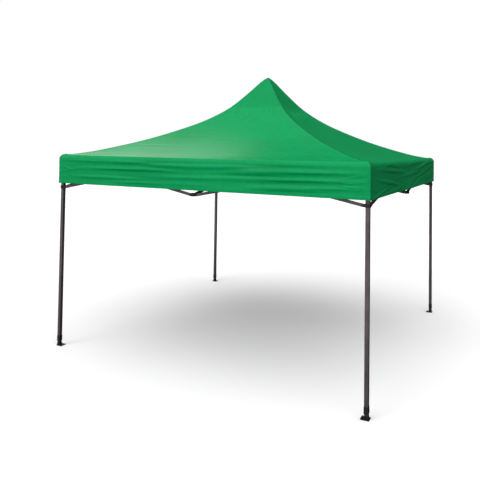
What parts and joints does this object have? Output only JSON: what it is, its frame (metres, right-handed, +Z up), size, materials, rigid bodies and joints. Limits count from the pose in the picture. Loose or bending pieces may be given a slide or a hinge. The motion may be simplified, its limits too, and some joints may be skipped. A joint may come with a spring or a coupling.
{
  "type": "pop up canopy",
  "caption": "Square pop up canopy: folding scissor-truss frame on telescoping legs, sprung peak mast, curved green fabric cover with valances.",
  "frame": {"origin": "on the ground, midway between the four feet, below the peak", "axes": "+Z up; +X along the front side, towards the right-hand legs; +Y from the front side to the back"},
  "size_m": [3, 3, 2.661],
  "materials": {
    "cover_cloth": "satin coated polyester",
    "truss_bar": "dark hammered powder coat",
    "outer_leg_tube": "dark hammered powder coat",
    "inner_leg_tube": "dark powder coat",
    "mast_tube": "dark powder coat",
    "bracket_plastic": "moulded black nylon",
    "lock_pin": "moulded black nylon"
  },
  "bodies": {
    "upper_hub": {"upper_hub": "bracket_plastic", "cover": "cover_cloth"},
    "lower_hub": {"lower_hub": "bracket_plastic"},
    "peak_mast": {"peak_mast": "mast_tube"},
    "front_centre_down_bar": {"front_centre_down_bar": "truss_bar"},
    "front_centre_up_bar": {"front_centre_up_bar": "truss_bar"},
    "front_upper_mid": {"front_upper_mid_bracket": "bracket_plastic"},
    "front_lower_mid": {"front_lower_mid_bracket": "bracket_plastic"},
    "front_truss_right_down_bar": {"front_truss_right_down_bar": "truss_bar"},
    "front_truss_right_up_bar": {"front_truss_right_up_bar": "truss_bar"},
    "front_truss_left_down_bar": {"front_truss_left_down_bar": "truss_bar"},
    "front_truss_left_up_bar": {"front_truss_left_up_bar": "truss_bar"},
    "front_right_leg": {"front_right_outer_leg": "outer_leg_tube", "front_right_leg_top_bracket": "bracket_plastic"},
    "front_right_slider": {"front_right_slider": "bracket_plastic"},
    "front_right_slider_pull_pin": {"front_right_slider_pull_pin": "lock_pin"},
    "front_right_inner_leg": {"front_right_inner_leg": "inner_leg_tube"},
    "front_right_height_pin": {"front_right_height_pin": "lock_pin"},
    "right_centre_down_bar": {"right_centre_down_bar": "truss_bar"},
    "right_centre_up_bar": {"right_centre_up_bar": "truss_bar"},
    "right_upper_mid": {"right_upper_mid_bracket": "bracket_plastic"},
    "right_lower_mid": {"right_lower_mid_bracket": "bracket_plastic"},
    "right_truss_back_down_bar": {"right_truss_back_down_bar": "truss_bar"},
    "right_truss_back_up_bar": {"right_truss_back_up_bar": "truss_bar"},
    "right_truss_front_down_bar": {"right_truss_front_down_bar": "truss_bar"},
    "right_truss_front_up_bar": {"right_truss_front_up_bar": "truss_bar"},
    "back_right_leg": {"back_right_outer_leg": "outer_leg_tube", "back_right_leg_top_bracket": "bracket_plastic"},
    "back_right_slider": {"back_right_slider": "bracket_plastic"},
    "back_right_slider_pull_pin": {"back_right_slider_pull_pin": "lock_pin"},
    "back_right_inner_leg": {"back_right_inner_leg": "inner_leg_tube"},
    "back_right_height_pin": {"back_right_height_pin": "lock_pin"},
    "back_centre_down_bar": {"back_centre_down_bar": "truss_bar"},
    "back_centre_up_bar": {"back_centre_up_bar": "truss_bar"},
    "back_upper_mid": {"back_upper_mid_bracket": "bracket_plastic"},
    "back_lower_mid": {"back_lower_mid_bracket": "bracket_plastic"},
    "back_truss_left_down_bar": {"back_truss_left_down_bar": "truss_bar"},
    "back_truss_left_up_bar": {"back_truss_left_up_bar": "truss_bar"},
    "back_truss_right_down_bar": {"back_truss_right_down_bar": "truss_bar"},
    "back_truss_right_up_bar": {"back_truss_right_up_bar": "truss_bar"},
    "back_left_leg": {"back_left_outer_leg": "outer_leg_tube", "back_left_leg_top_bracket": "bracket_plastic"},
    "back_left_slider": {"back_left_slider": "bracket_plastic"},
    "back_left_slider_pull_pin": {"back_left_slider_pull_pin": "lock_pin"},
    "back_left_inner_leg": {"back_left_inner_leg": "inner_leg_tube"},
    "back_left_height_pin": {"back_left_height_pin": "lock_pin"},
    "left_centre_down_bar": {"left_centre_down_bar": "truss_bar"},
    "left_centre_up_bar": {"left_centre_up_bar": "truss_bar"},
    "left_upper_mid": {"left_upper_mid_bracket": "bracket_plastic"},
    "left_lower_mid": {"left_lower_mid_bracket": "bracket_plastic"},
    "left_truss_front_down_bar": {"left_truss_front_down_bar": "truss_bar"},
    "left_truss_front_up_bar": {"left_truss_front_up_bar": "truss_bar"},
    "left_truss_back_down_bar": {"left_truss_back_down_bar": "truss_bar"},
    "left_truss_back_up_bar": {"left_truss_back_up_bar": "truss_bar"},
    "front_left_leg": {"front_left_outer_leg": "outer_leg_tube", "front_left_leg_top_bracket": "bracket_plastic"},
    "front_left_slider": {"front_left_slider": "bracket_plastic"},
    "front_left_slider_pull_pin": {"front_left_slider_pull_pin": "lock_pin"},
    "front_left_inner_leg": {"front_left_inner_leg": "inner_leg_tube"},
    "front_left_height_pin": {"front_left_height_pin": "lock_pin"}
  },
  "joints": [
    {"name": "fold", "type": "hinge", "parent": "upper_hub", "child": "front_centre_down_bar", "pos_m": [0, -0.03, 1.785], "axis": [1, 0, 0], "range_deg": [0, 72]},
    {"name": "front_centre_cross", "type": "hinge", "parent": "front_centre_down_bar", "child": "front_centre_up_bar", "pos_m": [0, -0.735, 1.6425], "axis": [1, 0, 0], "range_deg": [-144.5, 0.5]},
    {"name": "front_upper_mid_pivot", "type": "hinge", "parent": "front_centre_up_bar", "child": "front_upper_mid", "pos_m": [0, -1.44, 1.785], "axis": [1, 0, 0], "range_deg": [-0.5, 72.5]},
    {"name": "front_lower_mid_pivot", "type": "hinge", "parent": "front_centre_down_bar", "child": "front_lower_mid", "pos_m": [0, -1.44, 1.5], "axis": [1, 0, 0], "range_deg": [-72.5, 0.5]},
    {"name": "front_truss_right_fold", "type": "hinge", "parent": "front_upper_mid", "child": "front_truss_right_down_bar", "pos_m": [0.028, -1.47, 1.785], "axis": [0, 1, 0], "range_deg": [-0.5, 72.5]},
    {"name": "front_truss_right_cross", "type": "hinge", "parent": "front_truss_right_down_bar", "child": "front_truss_right_up_bar", "pos_m": [0.733, -1.47, 1.6425], "axis": [0, 1, 0], "range_deg": [-144.5, 0.5]},
    {"name": "front_truss_left_fold", "type": "hinge", "parent": "front_upper_mid", "child": "front_truss_left_down_bar", "pos_m": [-0.028, -1.47, 1.785], "axis": [0, -1, 0], "range_deg": [-0.5, 72.5]},
    {"name": "front_truss_left_cross", "type": "hinge", "parent": "front_truss_left_down_bar", "child": "front_truss_left_up_bar", "pos_m": [-0.733, -1.47, 1.6425], "axis": [0, -1, 0], "range_deg": [-144.5, 0.5]},
    {"name": "front_right_leg_pivot", "type": "hinge", "parent": "front_truss_right_up_bar", "child": "front_right_leg", "pos_m": [1.438, -1.47, 1.785], "axis": [0, 1, 0], "range_deg": [-0.5, 72.5]},
    {"name": "front_right_slider_pivot", "type": "hinge", "parent": "front_truss_right_down_bar", "child": "front_right_slider", "pos_m": [1.438, -1.47, 1.5], "axis": [0, 1, 0], "range_deg": [-72.5, 0.5]},
    {"name": "front_right_leg_extend", "type": "slide", "parent": "front_right_leg", "child": "front_right_inner_leg", "axis": [0, 0, -1], "range_m": [0, 0.3]},
    {"name": "front_right_height_pin_pull", "type": "slide", "parent": "front_right_leg", "child": "front_right_height_pin", "axis": [1, 0, 0], "range_m": [0, 0.006], "stiffness_N_per_m": 1500, "springref_m": -0.004},
    {"name": "front_right_slider_pin_pull", "type": "slide", "parent": "front_right_slider", "child": "front_right_slider_pull_pin", "axis": [1, 0, 0], "range_m": [0, 0.008], "stiffness_N_per_m": 1500, "springref_m": -0.004},
    {"name": "right_centre_fold", "type": "hinge", "parent": "upper_hub", "child": "right_centre_down_bar", "pos_m": [0.03, 0, 1.785], "axis": [0, 1, 0], "range_deg": [-0.5, 72.5]},
    {"name": "right_centre_cross", "type": "hinge", "parent": "right_centre_down_bar", "child": "right_centre_up_bar", "pos_m": [0.735, 0, 1.6425], "axis": [0, 1, 0], "range_deg": [-144.5, 0.5]},
    {"name": "right_upper_mid_pivot", "type": "hinge", "parent": "right_centre_up_bar", "child": "right_upper_mid", "pos_m": [1.44, 0, 1.785], "axis": [0, 1, 0], "range_deg": [-0.5, 72.5]},
    {"name": "right_lower_mid_pivot", "type": "hinge", "parent": "right_centre_down_bar", "child": "right_lower_mid", "pos_m": [1.44, 0, 1.5], "axis": [0, 1, 0], "range_deg": [-72.5, 0.5]},
    {"name": "right_truss_back_fold", "type": "hinge", "parent": "right_upper_mid", "child": "right_truss_back_down_bar", "pos_m": [1.47, 0.028, 1.785], "axis": [-1, 0, 0], "range_deg": [-0.5, 72.5]},
    {"name": "right_truss_back_cross", "type": "hinge", "parent": "right_truss_back_down_bar", "child": "right_truss_back_up_bar", "pos_m": [1.47, 0.733, 1.6425], "axis": [-1, 0, 0], "range_deg": [-144.5, 0.5]},
    {"name": "right_truss_front_fold", "type": "hinge", "parent": "right_upper_mid", "child": "right_truss_front_down_bar", "pos_m": [1.47, -0.028, 1.785], "axis": [1, 0, 0], "range_deg": [-0.5, 72.5]},
    {"name": "right_truss_front_cross", "type": "hinge", "parent": "right_truss_front_down_bar", "child": "right_truss_front_up_bar", "pos_m": [1.47, -0.733, 1.6425], "axis": [1, 0, 0], "range_deg": [-144.5, 0.5]},
    {"name": "back_right_leg_pivot", "type": "hinge", "parent": "right_truss_back_up_bar", "child": "back_right_leg", "pos_m": [1.47, 1.438, 1.785], "axis": [-1, 0, 0], "range_deg": [-0.5, 72.5]},
    {"name": "back_right_slider_pivot", "type": "hinge", "parent": "right_truss_back_down_bar", "child": "back_right_slider", "pos_m": [1.47, 1.438, 1.5], "axis": [-1, 0, 0], "range_deg": [-72.5, 0.5]},
    {"name": "back_right_leg_extend", "type": "slide", "parent": "back_right_leg", "child": "back_right_inner_leg", "axis": [0, 0, -1], "range_m": [0, 0.3]},
    {"name": "back_right_height_pin_pull", "type": "slide", "parent": "back_right_leg", "child": "back_right_height_pin", "axis": [0, 1, 0], "range_m": [0, 0.006], "stiffness_N_per_m": 1500, "springref_m": -0.004},
    {"name": "back_right_slider_pin_pull", "type": "slide", "parent": "back_right_slider", "child": "back_right_slider_pull_pin", "axis": [0, 1, 0], "range_m": [0, 0.008], "stiffness_N_per_m": 1500, "springref_m": -0.004},
    {"name": "back_centre_fold", "type": "hinge", "parent": "upper_hub", "child": "back_centre_down_bar", "pos_m": [0, 0.03, 1.785], "axis": [-1, 0, 0], "range_deg": [-0.5, 72.5]},
    {"name": "back_centre_cross", "type": "hinge", "parent": "back_centre_down_bar", "child": "back_centre_up_bar", "pos_m": [0, 0.735, 1.6425], "axis": [-1, 0, 0], "range_deg": [-144.5, 0.5]},
    {"name": "back_upper_mid_pivot", "type": "hinge", "parent": "back_centre_up_bar", "child": "back_upper_mid", "pos_m": [0, 1.44, 1.785], "axis": [-1, 0, 0], "range_deg": [-0.5, 72.5]},
    {"name": "back_lower_mid_pivot", "type": "hinge", "parent": "back_centre_down_bar", "child": "back_lower_mid", "pos_m": [0, 1.44, 1.5], "axis": [-1, 0, 0], "range_deg": [-72.5, 0.5]},
    {"name": "back_truss_left_fold", "type": "hinge", "parent": "back_upper_mid", "child": "back_truss_left_down_bar", "pos_m": [-0.028, 1.47, 1.785], "axis": [0, -1, 0], "range_deg": [-0.5, 72.5]},
    {"name": "back_truss_left_cross", "type": "hinge", "parent": "back_truss_left_down_bar", "child": "back_truss_left_up_bar", "pos_m": [-0.733, 1.47, 1.6425], "axis": [0, -1, 0], "range_deg": [-144.5, 0.5]},
    {"name": "back_truss_right_fold", "type": "hinge", "parent": "back_upper_mid", "child": "back_truss_right_down_bar", "pos_m": [0.028, 1.47, 1.785], "axis": [0, 1, 0], "range_deg": [-0.5, 72.5]},
    {"name": "back_truss_right_cross", "type": "hinge", "parent": "back_truss_right_down_bar", "child": "back_truss_right_up_bar", "pos_m": [0.733, 1.47, 1.6425], "axis": [0, 1, 0], "range_deg": [-144.5, 0.5]},
    {"name": "back_left_leg_pivot", "type": "hinge", "parent": "back_truss_left_up_bar", "child": "back_left_leg", "pos_m": [-1.438, 1.47, 1.785], "axis": [0, -1, 0], "range_deg": [-0.5, 72.5]},
    {"name": "back_left_slider_pivot", "type": "hinge", "parent": "back_truss_left_down_bar", "child": "back_left_slider", "pos_m": [-1.438, 1.47, 1.5], "axis": [0, -1, 0], "range_deg": [-72.5, 0.5]},
    {"name": "back_left_leg_extend", "type": "slide", "parent": "back_left_leg", "child": "back_left_inner_leg", "axis": [0, 0, -1], "range_m": [0, 0.3]},
    {"name": "back_left_height_pin_pull", "type": "slide", "parent": "back_left_leg", "child": "back_left_height_pin", "axis": [-1, 0, 0], "range_m": [0, 0.006], "stiffness_N_per_m": 1500, "springref_m": -0.004},
    {"name": "back_left_slider_pin_pull", "type": "slide", "parent": "back_left_slider", "child": "back_left_slider_pull_pin", "axis": [-1, 0, 0], "range_m": [0, 0.008], "stiffness_N_per_m": 1500, "springref_m": -0.004},
    {"name": "left_centre_fold", "type": "hinge", "parent": "upper_hub", "child": "left_centre_down_bar", "pos_m": [-0.03, 0, 1.785], "axis": [0, -1, 0], "range_deg": [-0.5, 72.5]},
    {"name": "left_centre_cross", "type": "hinge", "parent": "left_centre_down_bar", "child": "left_centre_up_bar", "pos_m": [-0.735, 0, 1.6425], "axis": [0, -1, 0], "range_deg": [-144.5, 0.5]},
    {"name": "left_upper_mid_pivot", "type": "hinge", "parent": "left_centre_up_bar", "child": "left_upper_mid", "pos_m": [-1.44, 0, 1.785], "axis": [0, -1, 0], "range_deg": [-0.5, 72.5]},
    {"name": "left_lower_mid_pivot", "type": "hinge", "parent": "left_centre_down_bar", "child": "left_lower_mid", "pos_m": [-1.44, 0, 1.5], "axis": [0, -1, 0], "range_deg": [-72.5, 0.5]},
    {"name": "left_truss_front_fold", "type": "hinge", "parent": "left_upper_mid", "child": "left_truss_front_down_bar", "pos_m": [-1.47, -0.028, 1.785], "axis": [1, 0, 0], "range_deg": [-0.5, 72.5]},
    {"name": "left_truss_front_cross", "type": "hinge", "parent": "left_truss_front_down_bar", "child": "left_truss_front_up_bar", "pos_m": [-1.47, -0.733, 1.6425], "axis": [1, 0, 0], "range_deg": [-144.5, 0.5]},
    {"name": "left_truss_back_fold", "type": "hinge", "parent": "left_upper_mid", "child": "left_truss_back_down_bar", "pos_m": [-1.47, 0.028, 1.785], "axis": [-1, 0, 0], "range_deg": [-0.5, 72.5]},
    {"name": "left_truss_back_cross", "type": "hinge", "parent": "left_truss_back_down_bar", "child": "left_truss_back_up_bar", "pos_m": [-1.47, 0.733, 1.6425], "axis": [-1, 0, 0], "range_deg": [-144.5, 0.5]},
    {"name": "front_left_leg_pivot", "type": "hinge", "parent": "left_truss_front_up_bar", "child": "front_left_leg", "pos_m": [-1.47, -1.438, 1.785], "axis": [1, 0, 0], "range_deg": [-0.5, 72.5]},
    {"name": "front_left_slider_pivot", "type": "hinge", "parent": "left_truss_front_down_bar", "child": "front_left_slider", "pos_m": [-1.47, -1.438, 1.5], "axis": [1, 0, 0], "range_deg": [-72.5, 0.5]},
    {"name": "front_left_leg_extend", "type": "slide", "parent": "front_left_leg", "child": "front_left_inner_leg", "axis": [0, 0, -1], "range_m": [0, 0.3]},
    {"name": "front_left_height_pin_pull", "type": "slide", "parent": "front_left_leg", "child": "front_left_height_pin", "axis": [0, -1, 0], "range_m": [0, 0.006], "stiffness_N_per_m": 1500, "springref_m": -0.004},
    {"name": "front_left_slider_pin_pull", "type": "slide", "parent": "front_left_slider", "child": "front_left_slider_pull_pin", "axis": [0, -1, 0], "range_m": [0, 0.008], "stiffness_N_per_m": 1500, "springref_m": -0.004},
    {"name": "lower_hub_pivot", "type": "hinge", "parent": "front_centre_up_bar", "child": "lower_hub", "pos_m": [0, -0.03, 1.5], "axis": [1, 0, 0], "range_deg": [-0.5, 72.5]},
    {"name": "peak_mast_spring", "type": "slide", "parent": "upper_hub", "child": "peak_mast", "axis": [0, 0, -1], "range_m": [0, 0.07], "stiffness_N_per_m": 300, "springref_m": -0.05}
  ],
  "couplings": [
    {"joint": "front_centre_cross", "follows": "fold", "ratio": -2},
    {"joint": "front_upper_mid_pivot", "follows": "fold", "ratio": 1},
    {"joint": "front_lower_mid_pivot", "follows": "fold", "ratio": -1},
    {"joint": "front_truss_right_fold", "follows": "fold", "ratio": 1},
    {"joint": "front_truss_right_cross", "follows": "fold", "ratio": -2},
    {"joint": "front_truss_left_fold", "follows": "fold", "ratio": 1},
    {"joint": "front_truss_left_cross", "follows": "fold", "ratio": -2},
    {"joint": "front_right_leg_pivot", "follows": "fold", "ratio": 1},
    {"joint": "front_right_slider_pivot", "follows": "fold", "ratio": -1},
    {"joint": "right_centre_fold", "follows": "fold", "ratio": 1},
    {"joint": "right_centre_cross", "follows": "fold", "ratio": -2},
    {"joint": "right_upper_mid_pivot", "follows": "fold", "ratio": 1},
    {"joint": "right_lower_mid_pivot", "follows": "fold", "ratio": -1},
    {"joint": "right_truss_back_fold", "follows": "fold", "ratio": 1},
    {"joint": "right_truss_back_cross", "follows": "fold", "ratio": -2},
    {"joint": "right_truss_front_fold", "follows": "fold", "ratio": 1},
    {"joint": "right_truss_front_cross", "follows": "fold", "ratio": -2},
    {"joint": "back_right_leg_pivot", "follows": "fold", "ratio": 1},
    {"joint": "back_right_slider_pivot", "follows": "fold", "ratio": -1},
    {"joint": "back_centre_fold", "follows": "fold", "ratio": 1},
    {"joint": "back_centre_cross", "follows": "fold", "ratio": -2},
    {"joint": "back_upper_mid_pivot", "follows": "fold", "ratio": 1},
    {"joint": "back_lower_mid_pivot", "follows": "fold", "ratio": -1},
    {"joint": "back_truss_left_fold", "follows": "fold", "ratio": 1},
    {"joint": "back_truss_left_cross", "follows": "fold", "ratio": -2},
    {"joint": "back_truss_right_fold", "follows": "fold", "ratio": 1},
    {"joint": "back_truss_right_cross", "follows": "fold", "ratio": -2},
    {"joint": "back_left_leg_pivot", "follows": "fold", "ratio": 1},
    {"joint": "back_left_slider_pivot", "follows": "fold", "ratio": -1},
    {"joint": "left_centre_fold", "follows": "fold", "ratio": 1},
    {"joint": "left_centre_cross", "follows": "fold", "ratio": -2},
    {"joint": "left_upper_mid_pivot", "follows": "fold", "ratio": 1},
    {"joint": "left_lower_mid_pivot", "follows": "fold", "ratio": -1},
    {"joint": "left_truss_front_fold", "follows": "fold", "ratio": 1},
    {"joint": "left_truss_front_cross", "follows": "fold", "ratio": -2},
    {"joint": "left_truss_back_fold", "follows": "fold", "ratio": 1},
    {"joint": "left_truss_back_cross", "follows": "fold", "ratio": -2},
    {"joint": "front_left_leg_pivot", "follows": "fold", "ratio": 1},
    {"joint": "front_left_slider_pivot", "follows": "fold", "ratio": -1},
    {"joint": "lower_hub_pivot", "follows": "fold", "ratio": 1}
  ]
}
